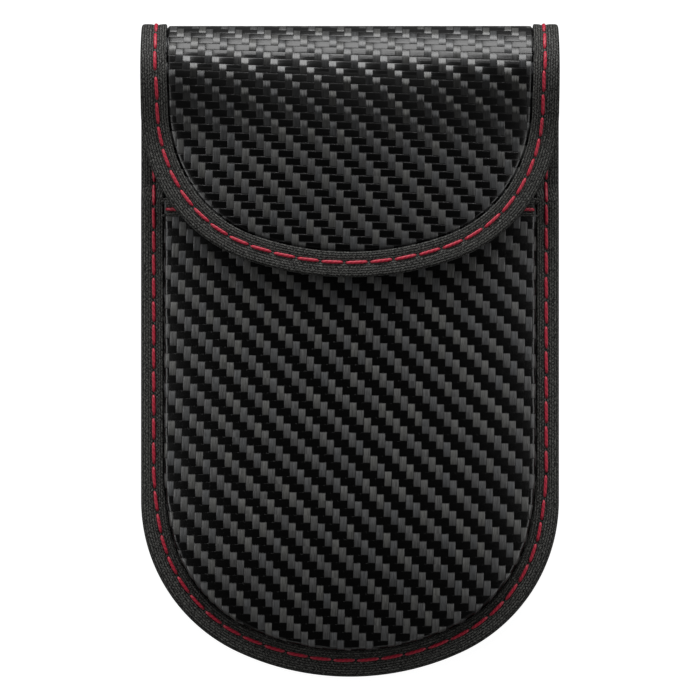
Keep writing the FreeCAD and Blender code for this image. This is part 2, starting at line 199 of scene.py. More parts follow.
# Leathercloth of the back, fold and flap: one cut of PU-coated cloth, embossed and printed as a 2/2
# twill of carbon tows. It runs up the back, over the fold and down to the flap's tip.
HALF_WIDTH = 45.0
LEATHER_EDGE = 0.4
Y_FOLD = 62.575
BACK_TOP = 61.0  # the back's piece ends here and the fold's first half goes on
FLAP_HALF_WIDTH = 44.65
BODY = (HALF_WIDTH, -70.5, 36.0, 25.0)  # half width, end, corner radius and lean of the end arc
FLAP = (FLAP_HALF_WIDTH, 15.3, 33.5, 19.4)
EDGE_REACH = 260.0  # longer than half of any outline
FLAP_DROOP = 5.5
FLAP_DROOP_RUN = 20.0
FOLD_LINE = (
    (-75, 0.4), (0, 0.4), (50, 0.4), (58, 0.4), (63.0, 0.4), (66.5, 0.75), (68.9, 2.2), (69.7, 5.0),
    (68.7, 7.9), (66.9, 10.0), (64.8, 11.6), (62.4, 12.75), (59.6, 13.5), (56.6, 13.95), (53, 14.1),
    (48, 14.05), (40, 14.05), (20, 14.05), (5, 14.05),
)
TOW_WIDTH = 1.555  # one column of the weave
TOW_HEIGHT = 1.619  # one row of the weave
TWILL_REPEAT = 4.0  # tows
TWILL_OVER = 1.5  # cells 0 and 1 of each repeat show the lengthwise tow
FLAP_COLUMN_LEAN = -0.018  # columns lean and rows tilt by this, from a cut a little off the grain
FLAP_ROW_TILT = -0.040
FLAP_WEAVE_START = (0.0, 40.7, 0.78, 3.30)
FOLD_SHIFT = 0.34  # columns that the weave is drawn aside by, going up to the fold
FOLD_SHIFT_ROWS = 13.0
PANEL_SPACING = 0.9
PANEL_COLUMNS = 79
RING_INSETS = np.array([
    2.0, 3.2, 4.2, 4.6, 4.8, 4.9, 5.0, 5.04, 5.09, 5.15, 5.22, 5.3, 5.4, 5.52, 5.66, 5.82, 6.0, 6.3, 6.8,
])
PANEL_PILLOW = 0.25
PILLOW_RISE = 2.6  # it grows over this width from the crevice
PILLOW_FALL = 4.0  # and flattens over this one towards the fold
CREVICE_INSET = 5.5  # the seam draws the cloth down beside the tape
CREVICE_DEPTH = 0.45
CREVICE_WIDTH = 0.28
FLAP_MORE = 0.5
FLAP_MORE_AT, FLAP_MORE_SPREAD = 56.0, 18.0
WARP_COLOURS = ("#3f4041", "#434343", "#4a4a48")
WEFT_COLOURS = ("#030303", "#2a2a2a")  # on top, and at the edges: partly the grey between the bars, partly painted highlight
WARP_CRIMP = 0.26  # rise of each lengthwise float from its ends to its middle
WEFT_CRIMP = 0.03
WARP_ROUND = 0.05  # rise of each float from its edges to its middle
WEFT_ROUND = 0.02
STRIP_WEFT_ROUND = 0.055  # this cut is embossed deeper than the front's
CUT_ROWS = (-60.0, -30.0)  # rows of the front's weave lie below these, this cut's above
FLAP_PAINTED_SHADE = 0.70  # painted shade: this cut's colour is drawn darker than the front's by this factor
FLOAT_SQUARENESS = 6.0  # power of a float's round across: 2 is an arc, more is flatter
WARP_FLAT = (0.82, 0.94)  # lengthwise floats roll under between these shares of their half width
WARP_ENDS = (0.88, 0.96)  # and go under between these shares of their half length
WEFT_EDGES = (0.76, 0.93)  # crosswise ones get paler between these, partly as painted highlight
DIVE_START, DIVE_FULL = 2.0, 12.0  # rows between which the floats tighten to the bend
DIVE_EASE, DIVE_END = 13.5, 19.0
DIVE_PAINTED_SHADE, DIVE_PAINTED_HIGHLIGHT = 0.38, 1.25  # there each float gets painted shade on its lower part and a painted highlight on its upper part
DIVE_RAGGED = (0.7, 1.2)  # where the painted shade gives way to the painted highlight, along the float
RAGGED_BY = 1.2
DIVE_RIDGE = 1.6  # there it is also creased across, this much higher than elsewhere
RIDGE_AT = 0.2  # so far above its middle
RIDGE_BLUNT = 0.03
TAUT_SHARE = 0.35  # of the deeper emboss, the part that the bend leaves
WEFT_TUCK = 16.0  # on the bend the crosswise floats go under at their left ends
TUCK_SHARPNESS = 3.0
TUCK_START, TUCK_FULL = 14.5, 16.5
TUCK_EASE, TUCK_END = 21.0, 26.0
TOW_FIBRES = 7.0  # streaks across one tow; real filaments are far finer than a pixel
FIBRE_STRETCH = 0.5  # streaks per row along it
FIBRE_DEPTH = 0.016
FIBRE_NOISE = (0.3, 0.7)  # most of the noise lies between these, and gives these shades
FIBRE_SHADES = (0.52, 1.46)
WARP_ROUGHNESS = 0.33  # lengthwise floats are streaky, crosswise ones are smooth
WEFT_ROUGHNESS = 0.23
BEND_ROUGHNESS = 0.33  # crosswise floats are stretched dull where the cloth bends
PU_IOR = 1.48


def smooth_step(value):
    """0 below 0, 1 above 1, and the cubic 3t^2 - 2t^3 between."""
    t = np.clip(value, 0, 1)
    return t * t * (3 - 2 * t)


def smooth_line(points, steps):
    """A uniform cubic B-spline that starts and ends on the first and last of its control points."""
    p = np.asarray(points, dtype=float)
    p = np.vstack([2 * p[0] - p[1], p, 2 * p[-1] - p[-2]])
    t = np.linspace(0, 1, steps, endpoint=False)[None, :, None]
    spans = ((1 - t) ** 3 * p[:-3, None] + (3 * t ** 3 - 6 * t ** 2 + 4) * p[1:-2, None]
             + (-3 * t ** 3 + 3 * t ** 2 + 3 * t + 1) * p[2:-1, None] + t ** 3 * p[3:, None]) / 6
    return np.vstack([spans.reshape(-1, p.shape[1]), p[-2]])


strip_line = smooth_line(FOLD_LINE, 80)
strip_run = np.concatenate([[0], np.cumsum(np.hypot(*np.diff(strip_line, axis=0).T))])
strip_heading = np.gradient(strip_line, strip_run, axis=0)
strip_heading /= np.linalg.norm(strip_heading, axis=1, keepdims=True)
apex = int(strip_line[:, 0].argmax())


def back_run(y):
    """Distance along the strip at a place on the back."""
    return np.interp(y, strip_line[:apex, 0], strip_run[:apex])


def flap_run(y):
    """Distance along the strip at a place on the flap."""
    return np.interp(-y, -strip_line[apex:, 0], strip_run[apex:])


APEX_RUN = strip_run[apex]
BACK_RUN = back_run(Y_FOLD)
FLAP_RUN = flap_run(Y_FOLD)


def on_strip(x, run, lift):
    """A point of the back, fold or flap: so far across, along the strip and out from its outer face.

    The strip's line gives Y, Z and the outward normal; the flap's sides hang down with the square of X.
    """
    y = np.interp(run, strip_run, strip_line[:, 0])
    z = np.interp(run, strip_run, strip_line[:, 1])
    out_y = np.interp(run, strip_run, strip_heading[:, 1])
    out_z = -np.interp(run, strip_run, strip_heading[:, 0])
    share = smooth_step((Y_FOLD - y) / FLAP_DROOP_RUN) * (run > APEX_RUN)
    droop = FLAP_DROOP * share * (x / HALF_WIDTH) ** 2
    return join(x, y + lift * out_y, z + lift * out_z - droop)


def outline(shape, along, inset):
    """The point of an outline at a distance from the middle of its end, moved inwards by the inset.

    Up each side come half the end arc, a corner arc and a straight side, all tangent.
    """
    half_width, end_y, corner_radius, lean_degrees = shape
    lean = math.radians(lean_degrees)
    rest = math.pi / 2 - lean
    centre_x = half_width - corner_radius
    end_radius = corner_radius + centre_x / math.sin(lean)
    corner_y = end_y + end_radius - (end_radius - corner_radius) * math.cos(lean)
    end_run = end_radius * lean
    far = np.abs(along)
    on_end = far < end_run
    turned = np.clip(far / end_radius, 0, lean) + np.clip((far - end_run) / corner_radius, 0, rest)
    radius = np.where(on_end, end_radius, corner_radius) - inset
    x = np.where(on_end, 0, centre_x) + radius * np.sin(turned)
    y = np.where(on_end, end_y + end_radius, corner_y) - radius * np.cos(turned)
    return np.sign(along) * x, y + np.maximum(far - end_run - corner_radius * rest, 0)


def outline_run(shape, top):
    """Length of one half of an outline, from the middle of its end up to the given top."""
    far = np.linspace(0, EDGE_REACH, 26001)
    return np.interp(top, outline(shape, far, 0)[1], far)


def panel_grid(shape, top, ring=RING_INSETS, columns=PANEL_COLUMNS, spacing=PANEL_SPACING,
               more=np.zeros_like):
    """X, Y and inset on a grid that fills an outline: rings along its edge, straight rows inside them.

    Rows go from the top down to the middle of the end, where they shrink to a point. The rings move in
    where the binding has more width; the inset is counted as if it had not.
    """
    length = outline_run(shape, top)
    along = np.linspace(length, 0, int(length / spacing) + 2)[:, None]
    ring_x, ring_y = outline(shape, np.maximum(along, 1e-9), ring[None, :] + more(along))
    share = np.linspace(-1, 1, columns)[None, 1:-1]
    x = np.hstack([-ring_x, share * ring_x[:, -1:], ring_x[:, ::-1]])
    y = np.hstack([ring_y, ring_y[:, -1:] + 0 * share, ring_y[:, ::-1]])
    inset = np.hstack([ring, np.full(columns - 2, ring[-1]), ring[::-1]])[None, :] + 0 * x
    return x, y, inset


def strip_weave(x, run):
    """Columns and rows of the twill on the strip, turned by its small skew and set to its start."""
    start_x, start_y, start_column, start_row = FLAP_WEAVE_START
    across = (x - start_x) / TOW_WIDTH
    up = (flap_run(start_y) - run) / TOW_HEIGHT
    ratio = TOW_HEIGHT / TOW_WIDTH
    aside = FOLD_SHIFT * smooth_step(up / FOLD_SHIFT_ROWS)
    column = across + FLAP_COLUMN_LEAN * up * ratio + start_column + aside
    return join(column, up - FLAP_ROW_TILT * across / ratio + start_row)


# Twill-embossed PU leathercloth: grey lengthwise floats with fine streaks and a faint warm or cool
# cast, near-black crosswise floats, each one crowned so that its ends turn from the light.
leathercloth = bpy.data.materials.new("twill embossed PU leathercloth")
add = node_adder(leathercloth)
place = add("SeparateXYZ", add("UVMap", uv_map="cloth"))
across, up = place.outputs["X"], place.outputs["Y"]
column = add("FLOOR", across)
row = add("FLOOR", up)
cell = add("ADD", column, row)
warp = add("LESS_THAN", add("FLOORED_MODULO", cell, TWILL_REPEAT), TWILL_OVER)
# Along its length each float runs from -1 to 1, and across it from 0 to 1.
ways = []
for run, lane, side, start in ((across, row, up, -3.0), (up, column, across, -1.0)):
    repeats = add("DIVIDE", add("ADD", run, lane), TWILL_REPEAT)
    run_share = add("MULTIPLY_ADD", add("FRACT", repeats), TWILL_REPEAT, start)
    ways.append((run_share, add("FRACT", side), add("FLOOR", repeats), lane))
along, width, number, lane = [
    add("Mix", {0: warp, 2: of_weft, 3: of_warp}) for of_weft, of_warp in zip(*ways)
]
off_middle = add("ABSOLUTE", add("MULTIPLY_ADD", width, 2.0, -1.0))
crown_across = add("SUBTRACT", 1.0, add("POWER", off_middle, FLOAT_SQUARENESS))
arch = add("SUBTRACT", 1.0, add("MULTIPLY", along, along))
dive_on = add("MapRange", up, DIVE_START, DIVE_FULL, interpolation_type="SMOOTHSTEP")
dive_off = add("MapRange", up, DIVE_EASE, DIVE_END, 1.0, 0.0, interpolation_type="SMOOTHSTEP")
dive = add("MULTIPLY", dive_on, dive_off)
past_ridge = add("SUBTRACT", along, RIDGE_AT)
slope = add("SQRT", add("MULTIPLY_ADD", past_ridge, past_ridge, RIDGE_BLUNT))
ridge = add("MULTIPLY_ADD", slope, -DIVE_RIDGE, DIVE_RIDGE)
left_end = add("POWER", add("MULTIPLY_ADD", along, -0.5, 0.5), TUCK_SHARPNESS)
tuck = add("MULTIPLY_ADD", left_end, -WEFT_TUCK, WEFT_TUCK)
on_bend = add("MapRange", up, TUCK_START, TUCK_FULL)
past_bend = add("MapRange", up, TUCK_EASE, TUCK_END, 1.0, 0.0)
tucked = add("MULTIPLY", on_bend, past_bend)
bent = add("Mix", {0: warp, 2: tucked, 3: dive})
bow = add("Mix", {0: warp, 2: tuck, 3: ridge})
crown_along = add("Mix", {0: bent, 2: arch, 3: bow})
streak_x = add("Mix", {0: warp, 2: FIBRE_STRETCH, 3: TOW_FIBRES})
streak_y = add("Mix", {0: warp, 2: TOW_FIBRES, 3: FIBRE_STRETCH})
streak_u = add("MULTIPLY", across, streak_x)
streak_v = add("MULTIPLY", up, streak_y)
streak_place = add("CombineXYZ", streak_u, streak_v, cell)
streaks = add("TexNoise", {"Vector": streak_place, "Scale": 1.0, "Detail": 2.0})
rise_along = add("Mix", {0: warp, 2: WEFT_CRIMP, 3: WARP_CRIMP})
on_strip_cut = add("MapRange", up, *CUT_ROWS)
taut = add("MapRange", dive_on, 0.0, 1.0, 1.0, TAUT_SHARE)
deep = add("MULTIPLY", on_strip_cut, taut)
weft_round = add("Mix", {0: deep, 2: WEFT_ROUND, 3: STRIP_WEFT_ROUND})
rise_across = add("Mix", {0: warp, 2: weft_round, 3: WARP_ROUND})
rounding = add("MULTIPLY", crown_across, rise_across)
crimp = add("MULTIPLY_ADD", crown_along, rise_along, rounding)
relief = add("MULTIPLY_ADD", streaks, FIBRE_DEPTH, crimp)
bump = add("Bump", {"Height": relief, "Distance": MM})
float_name = add("CombineXYZ", number, lane, warp)
cast = add("ValToRGB", add("TexWhiteNoise", {"Vector": float_name}, noise_dimensions="3D"))
cast.color_ramp.elements[0].color = to_linear(WARP_COLOURS[0])
cast.color_ramp.elements[1].color = to_linear(WARP_COLOURS[2])
cast.color_ramp.elements.new(0.5).color = to_linear(WARP_COLOURS[1])
flat_part = add("MapRange", off_middle, *WARP_FLAT, 1.0, 0.0)
long_part = add("MapRange", add("ABSOLUTE", along), *WARP_ENDS, 1.0, 0.0)
grey_share = add("MULTIPLY", warp, add("MULTIPLY", flat_part, long_part))
# The pale edges of the crosswise floats on this cut are partly the grey between the bars and partly a
# painted highlight along their rounded edges.
pale_edge_and_highlight_share = add("MULTIPLY", add("MapRange", off_middle, *WEFT_EDGES), deep)
weft_top, weft_edge_and_highlight = map(to_linear, WEFT_COLOURS)
weft = add("Mix", {0: pale_edge_and_highlight_share, 6: weft_top, 7: weft_edge_and_highlight}, data_type="RGBA")
tow = add("Mix", {0: grey_share, 6: weft.outputs[2], 7: cast}, data_type="RGBA")
fibre_shade = add("MapRange", streaks, *FIBRE_NOISE, *FIBRE_SHADES)
# Near the bend each lengthwise float's colour gets painted shade on its lower part and a painted highlight
# on its upper part, with a ragged edge between them.
ragged = add("MULTIPLY_ADD", streaks, RAGGED_BY, along)
dive_painted_light_and_shade = add("MapRange", ragged, *DIVE_RAGGED, DIVE_PAINTED_SHADE, DIVE_PAINTED_HIGHLIGHT,
                 interpolation_type="SMOOTHSTEP")
painted_bend_shade = add("Mix", {0: dive, 2: 1.0, 3: dive_painted_light_and_shade})
# Painted shade: the colour of the back, fold and flap cut is drawn darker than the front's.
painted_cut_shade = add("Mix", {0: on_strip_cut, 2: 1.0, 3: FLAP_PAINTED_SHADE})
shade = add("MULTIPLY", add("MULTIPLY", fibre_shade, painted_bend_shade), painted_cut_shade)
colour = add("VectorMath", {0: tow.outputs[2], 3: shade}, operation="SCALE")
weft_gloss = add("Mix", {0: dive_on, 2: WEFT_ROUGHNESS, 3: BEND_ROUGHNESS})
gloss = add("Mix", {0: warp, 2: weft_gloss, 3: WARP_ROUGHNESS})
skin = add("BsdfPrincipled", {"Base Color": colour, "Roughness": gloss, "IOR": PU_IOR, "Normal": bump})
add("OutputMaterial", skin)


def skin_lift(y, inset, top):
    """How far the cloth stands out over its foam, less the crevice beside the tape; flat at the fold."""
    beside = inset - CREVICE_INSET
    pillow = PANEL_PILLOW * smooth_step(beside / PILLOW_RISE) * smooth_step((top - y) / PILLOW_FALL)
    return pillow - CREVICE_DEPTH * np.exp(-(beside / CREVICE_WIDTH) ** 2)


def flap_more(along):
    """More width of the flap's binding and seam where its side turns into its corner."""
    return FLAP_MORE * np.exp(-((np.abs(along) - FLAP_MORE_AT) / FLAP_MORE_SPREAD) ** 2)


x, y, inset = panel_grid(BODY, BACK_TOP)
run = back_run(y)
back_skin = lay_surface("back_leathercloth", on_strip(x, run, skin_lift(y, inset, BACK_TOP)),
                        strip_weave(x, run), leathercloth)
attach(back_skin, "pouch")
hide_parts("back_panel")

x, y, inset = panel_grid(FLAP, Y_FOLD, more=flap_more)
run = flap_run(y)
flap_skin = lay_surface("flap_leathercloth", on_strip(x, run, skin_lift(y, inset, Y_FOLD)),
                        strip_weave(x, run), leathercloth, flip=True)
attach(flap_skin, "flap")
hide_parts("flap_panel")

FOLD_INSETS = np.concatenate([RING_INSETS, np.linspace(7.6, FLAP_HALF_WIDTH, 41)])
FOLD_X = np.concatenate([FOLD_INSETS - FLAP_HALF_WIDTH, FLAP_HALF_WIDTH - FOLD_INSETS[-2::-1]])[None, :]
FOLD_LIFT = skin_lift(Y_FOLD, FLAP_HALF_WIDTH - np.abs(FOLD_X), Y_FOLD)
FOLD_START = back_run(BACK_TOP)
FOLD_HALVES = (
    ("lower", np.linspace(FOLD_START, APEX_RUN, 25)[:, None]),
    ("upper", np.linspace(APEX_RUN, FLAP_RUN, 29)[:, None]),
)


def strip_place(run):
    """A point in metres on the middle of the strip, where a crease starts or ends."""
    return tuple(float(value) * MM for value in on_strip(0.0, run, 0.0))


def bend_over_fold(lower, upper):
    """Bakes each half of a fold into its mesh; the crease places at the back and front are worked out and
    not used.
    """
    strip_place(BACK_RUN)
    strip_place(APEX_RUN)
    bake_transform(lower)
    strip_place(APEX_RUN)
    strip_place(FLAP_RUN)
    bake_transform(upper)


fold_skins = [
    lay_surface("fold_leathercloth_" + half, on_strip(FOLD_X, runs, FOLD_LIFT), strip_weave(FOLD_X, runs),
                leathercloth, flip=True)
    for half, runs in FOLD_HALVES
]
bend_over_fold(*fold_skins)
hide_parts("fold_panel")

# Leathercloth of the pocket's front: a second cut of the same cloth, drawn over thin foam. It rises
# from the sewn rim in a tight shoulder and bulges a little to the middle.
FRONT_CROWN = 10.3
FRONT_RADIUS = 154.9
FRONT_RIM = 3.05
FRONT_CENTRE_Y = -32.2
SHOULDER_START = 5.0
SHOULDER_WIDTH = 0.95
SHOULDER_WAVE = 0.08  # the seam pulls the shoulder in at each stitch
STITCH_PITCH = 5.1
RIM_CREVICE_INSET = 4.98
RIM_CREVICE_DEPTH = 0.85
RIM_CREVICE_WIDTH = 0.25
FRONT_MORE = 0.8
FRONT_MORE_END, FRONT_MORE_FADE = 60.0, 13.0
Y_MOUTH = 32.1
FRONT_WEAVE_SKEW = -0.022
FRONT_WEAVE_START = (0.0, -19.5, 0.17, -99.08)
FRONT_ROW_BOW = 0.00028  # rows that the bulge takes up, by the square of the way from the start


def front_dome(x, y, depth=0.0):
    """Height of the front's bulge: a barrel along the pouch and a ball round its end, less a depth."""
    out = np.hypot(x, np.minimum(y - FRONT_CENTRE_Y, 0))
    return FRONT_CROWN - FRONT_RADIUS + np.sqrt((FRONT_RADIUS - depth) ** 2 - out ** 2)


def front_height(x, y, inset):
    """The front's face: flat in the rim, drawn down by the tape, then a quarter round up to the bulge."""
    wave = SHOULDER_WAVE * np.sin(2 * math.pi * (np.abs(x) + y) / STITCH_PITCH)
    part_way = np.clip((inset - SHOULDER_START + wave) / SHOULDER_WIDTH, 0, 1)
    rise = np.cbrt(1 - (1 - part_way) ** 3)
    crevice = np.exp(-((inset - RIM_CREVICE_INSET) / RIM_CREVICE_WIDTH) ** 2)
    foot = FRONT_RIM - RIM_CREVICE_DEPTH * crevice
    return foot + (front_dome(x, y) - foot) * rise


def front_weave(x, y):
    """Columns and rows of the twill on the front, turned by its small skew and set to its start."""
    start_x, start_y, start_column, start_row = FRONT_WEAVE_START
    right, upward = x - start_x, y - start_y
    column = (right + FRONT_WEAVE_SKEW * upward) / TOW_WIDTH + start_column
    row = (upward - FRONT_WEAVE_SKEW * right) / TOW_HEIGHT + start_row + FRONT_ROW_BOW * upward ** 2
    return join(column, row)


def running_sum(steps):
    """The way along each row of steps, starting from 0."""
    return np.hstack([np.zeros((len(steps), 1)), np.cumsum(steps, axis=1)])


def unrolled(points, ring_columns):
    """Plan places of a panel's points with the shoulder at its edge laid out flat.

    Each ring point moves outwards by how much longer the way to it is on the face than in plan.
    """
    def spread(edge):
        step = np.diff(edge, axis=1)
        longer = np.linalg.norm(step, axis=2) - np.linalg.norm(step[..., :2], axis=2)
        outward = edge[:, -1:, :2] - edge[:, :1, :2]
        outward = outward / np.linalg.norm(outward, axis=2, keepdims=True)
        return edge[..., :2] + running_sum(longer)[..., None] * outward

    left = spread(points[:, ring_columns - 1::-1])[:, ::-1]
    right = spread(points[:, -ring_columns:])
    return np.concatenate([left, points[:, ring_columns:-ring_columns, :2], right], axis=1)


def front_more(along):
    """More width of the front's binding and seam all round the bend, none along the straight sides."""
    return FRONT_MORE * (1 - smooth_step((np.abs(along) - FRONT_MORE_END) / FRONT_MORE_FADE))


x, y, inset = panel_grid(BODY, Y_MOUTH, more=front_more)
front_points = join(x, y, front_height(x, y, inset))
flat_places = unrolled(front_points, len(RING_INSETS))
front_skin = lay_surface("front_leathercloth", front_points,
                         front_weave(flat_places[..., 0], flat_places[..., 1]), leathercloth, flip=True)
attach(front_skin, "pouch")
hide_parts("front_panel")

# Binding tape: woven nylon tape folded in half lengthwise over every raw edge and sewn through. One
# length runs round the body, over the fold at both sides and round the flap, another over the mouth.
TAPE_THICKNESS = 0.35
TAPE_TOP = 0.4  # the tape's outer face above the leathercloth
TAPE_EDGE = 0.3  # each leg's edge is rounded over this width, down to the thickness in the next line
TAPE_EDGE_LEFT = 0.05
TURN_SQUARENESS = 0.6  # power of the turn over the raw edge: 1 is round, 0 is square
OUTER_LEG = 5.4
INNER_LEG = 4.9
NECK_STACK = 2.1  # tape over one wall, outside to outside
RIM_STACK = 3.45  # tape over both walls
NECK_START, NECK_RUN = 31.5, 4.0
BODY_SEAM = 2.8
FLAP_SEAM = 3.15
SEAM_GROOVE = 0.26
SEAM_GROOVE_WIDTH = 0.75
TAPE_SPACING = 0.7
# The pale colour is the yarn's, the dark one is painted shade in the pits between the yarns.
TAPE_COLOURS = ("#020202", "#40403e")
TAPE_YARN = 0.54  # wider than the real yarns, so that they show
TAPE_PICK = 0.74
TAPE_JITTER = 1.6
TAPE_PITS = (0.04, 0.42)  # depth between which a pit turns from the yarn's colour to dark, a painted shade
TAPE_SPECKS = (1.8, 2.4, 1.0)  # specks per millimetre along and across the tape
TAPE_NOISE = (0.34, 0.68)
TAPE_UNEVEN = (0.05, 1.95)
TAPE_RELIEF = 0.06
TAPE_ROUGHNESS = 0.62
TAPE_SPECULAR = 0.12
NYLON_IOR = 1.53

# Woven nylon: dull ribs, with painted shade darkening the pits between the yarns, and paler specks where
# fibres stand up.
tape_cloth = bpy.data.materials.new("woven nylon binding tape")
add = node_adder(tape_cloth)
uv = add("UVMap", uv_map="cloth")
place = add("SeparateXYZ", uv)
lengthwise = add("DIVIDE", place.outputs["X"], TAPE_PICK)
sideways = add("DIVIDE", place.outputs["Y"], TAPE_YARN)
stagger = add("MULTIPLY_ADD", add("FLOOR", sideways), 0.5, lengthwise)
wobble = add("TexNoise", {"Vector": uv, "Scale": 1.5, "Detail": 3.0})
pick = add("MULTIPLY_ADD", wobble, TAPE_JITTER, stagger)
pick_wave = add("SINE", add("MULTIPLY", pick, 2 * math.pi))
yarn_wave = add("COSINE", add("MULTIPLY", sideways, 2 * math.pi))
between_picks = add("MULTIPLY_ADD", pick_wave, -0.5, 0.5)
between_yarns = add("MULTIPLY_ADD", yarn_wave, 0.5, 0.5)
pit = add("MULTIPLY", between_yarns, between_picks)
# Painted shade: the colour darkens with the depth of each pit between the yarns; the same mask gives the
# bump.
weave = add("MapRange", pit, *TAPE_PITS, 1.0, 0.0)
speck_place = add("VectorMath", uv, TAPE_SPECKS, operation="MULTIPLY")
specks = add("TexNoise", {"Vector": speck_place, "Scale": 1.0, "Detail": 2.0, "Roughness": 0.7})
uneven = add("MapRange", specks, *TAPE_NOISE, *TAPE_UNEVEN)
dark, pale = map(to_linear, TAPE_COLOURS)
mixed = add("Mix", {0: weave, 6: dark, 7: pale}, data_type="RGBA")
colour = add("VectorMath", {0: mixed.outputs[2], 3: uneven}, operation="SCALE")
bump = add("Bump", {"Height": add("MULTIPLY", weave, TAPE_RELIEF), "Distance": MM})
skin = add("BsdfPrincipled", {
    "Base Color": colour, "Roughness": TAPE_ROUGHNESS, "IOR": NYLON_IOR,
    "Specular IOR Level": TAPE_SPECULAR, "Normal": bump,
})
add("OutputMaterial", skin)


def tape_section(stack, seam, outer_leg=OUTER_LEG, inner_leg=INNER_LEG):
    """Inset and lift round a tape folded over an edge: outer leg, squarish turn, inner leg, back inside.

    stack and seam hold one value per row. Each leg dips in a soft groove at the seam and swells beside it.
    """
    def along_leg(leg, share):
        return half + (leg - half) * share

    def dip(at, leg):
        groove = SEAM_GROOVE * np.exp(-((at - seam) / SEAM_GROOVE_WIDTH) ** 2)
        rounded = 1 - np.sqrt(1 - np.clip((at - leg + TAPE_EDGE) / TAPE_EDGE, 0, 1) ** 2)
        return groove + (TAPE_THICKNESS - TAPE_EDGE_LEFT) * rounded

    half = stack / 2
    outwards = np.concatenate([np.linspace(0, 0.93, 18), [0.955, 0.975, 0.99, 1.0]])[None, :]
    few = np.linspace(0, 1, 4)[None, :]
    bend = np.linspace(0, math.pi, 17)[None, 1:-1]
    turn_in = np.sin(bend) ** TURN_SQUARENESS
    turn_over = np.sign(np.cos(bend)) * np.abs(np.cos(bend)) ** TURN_SQUARENESS
    inner_half = half - TAPE_THICKNESS
    outer_at = along_leg(outer_leg, outwards[:, ::-1])
    inner_at = along_leg(inner_leg, outwards)
    inset = [outer_at, half - half * turn_in, inner_at, along_leg(inner_leg, few[:, ::-1]),
             half - inner_half * turn_in, along_leg(outer_leg, few), outer_at[:, :1]]
    lift = [TAPE_TOP - dip(outer_at, outer_leg), TAPE_TOP - half + half * turn_over,
            TAPE_TOP - stack + dip(inner_at, inner_leg),
            TAPE_TOP - stack + TAPE_THICKNESS + 0 * few * half,
            TAPE_TOP - half - inner_half * turn_over,
            TAPE_TOP - TAPE_THICKNESS + 0 * few * half, TAPE_TOP - dip(outer_at[:, :1], outer_leg)]
    return np.hstack(inset), np.hstack(lift)


def tape_cover(along, inset, lift):
    """Millimetres along the tape and across it, measured round its section."""
    return join(along, running_sum(np.hypot(np.diff(inset, axis=1), np.diff(lift, axis=1))))


def body_stack(along):
    """Thickness under the body's tape: two walls round the pocket, one beside the mouth."""
    y = outline(BODY, along, 0)[1]
    return RIM_STACK - (RIM_STACK - NECK_STACK) * smooth_step((y - NECK_START) / NECK_RUN)


def tape_rows(half_length):
    """Places of the tape's rows along a whole outline."""
    return np.linspace(-half_length, half_length, int(2 * half_length / TAPE_SPACING))[:, None]


along = tape_rows(outline_run(BODY, BACK_TOP))
more = front_more(along)
inset, lift = tape_section(body_stack(along), BODY_SEAM + more, inner_leg=INNER_LEG + more)
body_tape = lay_surface("body_binding_tape", join(*outline(BODY, along, inset), TAPE_TOP - lift),
                        tape_cover(along, inset, lift), tape_cloth, closed=True)
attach(body_tape, "pouch")
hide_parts("body_binding")

along = tape_rows(outline_run(FLAP, Y_FOLD))
more = flap_more(along)
inset, lift = tape_section(NECK_STACK + 0 * along, FLAP_SEAM + more, OUTER_LEG + more)
x, y = outline(FLAP, along, inset)
flap_tape = lay_surface("flap_binding_tape", on_strip(x, flap_run(y), lift),
                        tape_cover(along, inset, lift), tape_cloth, closed=True)
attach(flap_tape, "flap")
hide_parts("flap_binding")


def over_fold(run, at_back, at_flap):
    """A value that eases from the back's, where the fold starts, to the flap's at the fold's top."""
    return at_back + (at_flap - at_back) * smooth_step((run - FOLD_START) / (APEX_RUN - FOLD_START))


def fold_tape(name, runs):
    """The tape on both sides of half the fold."""
    inset, lift = tape_section(NECK_STACK + 0 * runs, over_fold(runs, BODY_SEAM, FLAP_SEAM))
    x = over_fold(runs, HALF_WIDTH, FLAP_HALF_WIDTH) - inset
    sides = [on_strip(side * x, runs, lift) for side in (-1, 1)]
    cover = tape_cover(runs, inset, lift)
    return lay_surface(name, np.stack(sides), np.stack([cover, cover]), tape_cloth, closed=True)


fold_tapes = [fold_tape("fold_binding_" + half, runs) for half, runs in FOLD_HALVES]
bend_over_fold(*fold_tapes)
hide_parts("fold_binding")

# Tape over the mouth: the same tape on the front wall's free edge, following its bulge and dropping
# to the rim at both ends, where the body's tape is sewn beside it.
MOUTH_EDGE = 32.5
MOUTH_LEG = 4.0
MOUTH_SEAM = 2.5
MOUTH_STACK = 2.75
MOUTH_STACK_AT_ENDS = 1.1
MOUTH_HALF_LENGTH = 40.6
MOUTH_END_START, MOUTH_END_RUN = 35.0, 4.5


def on_front(x, y, lift):
    """A point on or above the pocket's front face, well away from its rounded end."""
    return join(x, y, front_height(x, y, HALF_WIDTH - np.abs(x)) + lift)


def mouth_place(along, inset, lift):
    """A point on the mouth's tape: along the mouth, in from its edge and out from the front face."""
    return on_front(along, MOUTH_EDGE - inset, lift)


along = np.linspace(-MOUTH_HALF_LENGTH, MOUTH_HALF_LENGTH, 131)[:, None]
end_share = smooth_step((np.abs(along) - MOUTH_END_START) / MOUTH_END_RUN)
stack = MOUTH_STACK - (MOUTH_STACK - MOUTH_STACK_AT_ENDS) * end_share
inset, lift = tape_section(stack, MOUTH_SEAM + 0 * along, MOUTH_LEG, MOUTH_LEG)
mouth_tape = lay_surface("mouth_binding_tape", mouth_place(along, inset, lift),
                         tape_cover(along, inset, lift), tape_cloth, closed=True)
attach(mouth_tape, "pouch")
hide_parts("mouth_binding")

# Red seams: a lockstitch of twisted red polyester through the binding. Each stitch lies on the tape,
# dips into it at both ends, and shows on the front and on the back.
THREAD_HALF_WIDTH = 0.36
THREAD_HALF_HEIGHT = 0.24
STITCH_SHARE = 0.97  # of the pitch, the rest is the dip between two stitches
STITCH_SLANT = 0.06
STITCH_RISE = 1.15  # its middle over the tape, in half heights of the thread
STITCH_DIP = 1.9  # and how far its ends go down from there
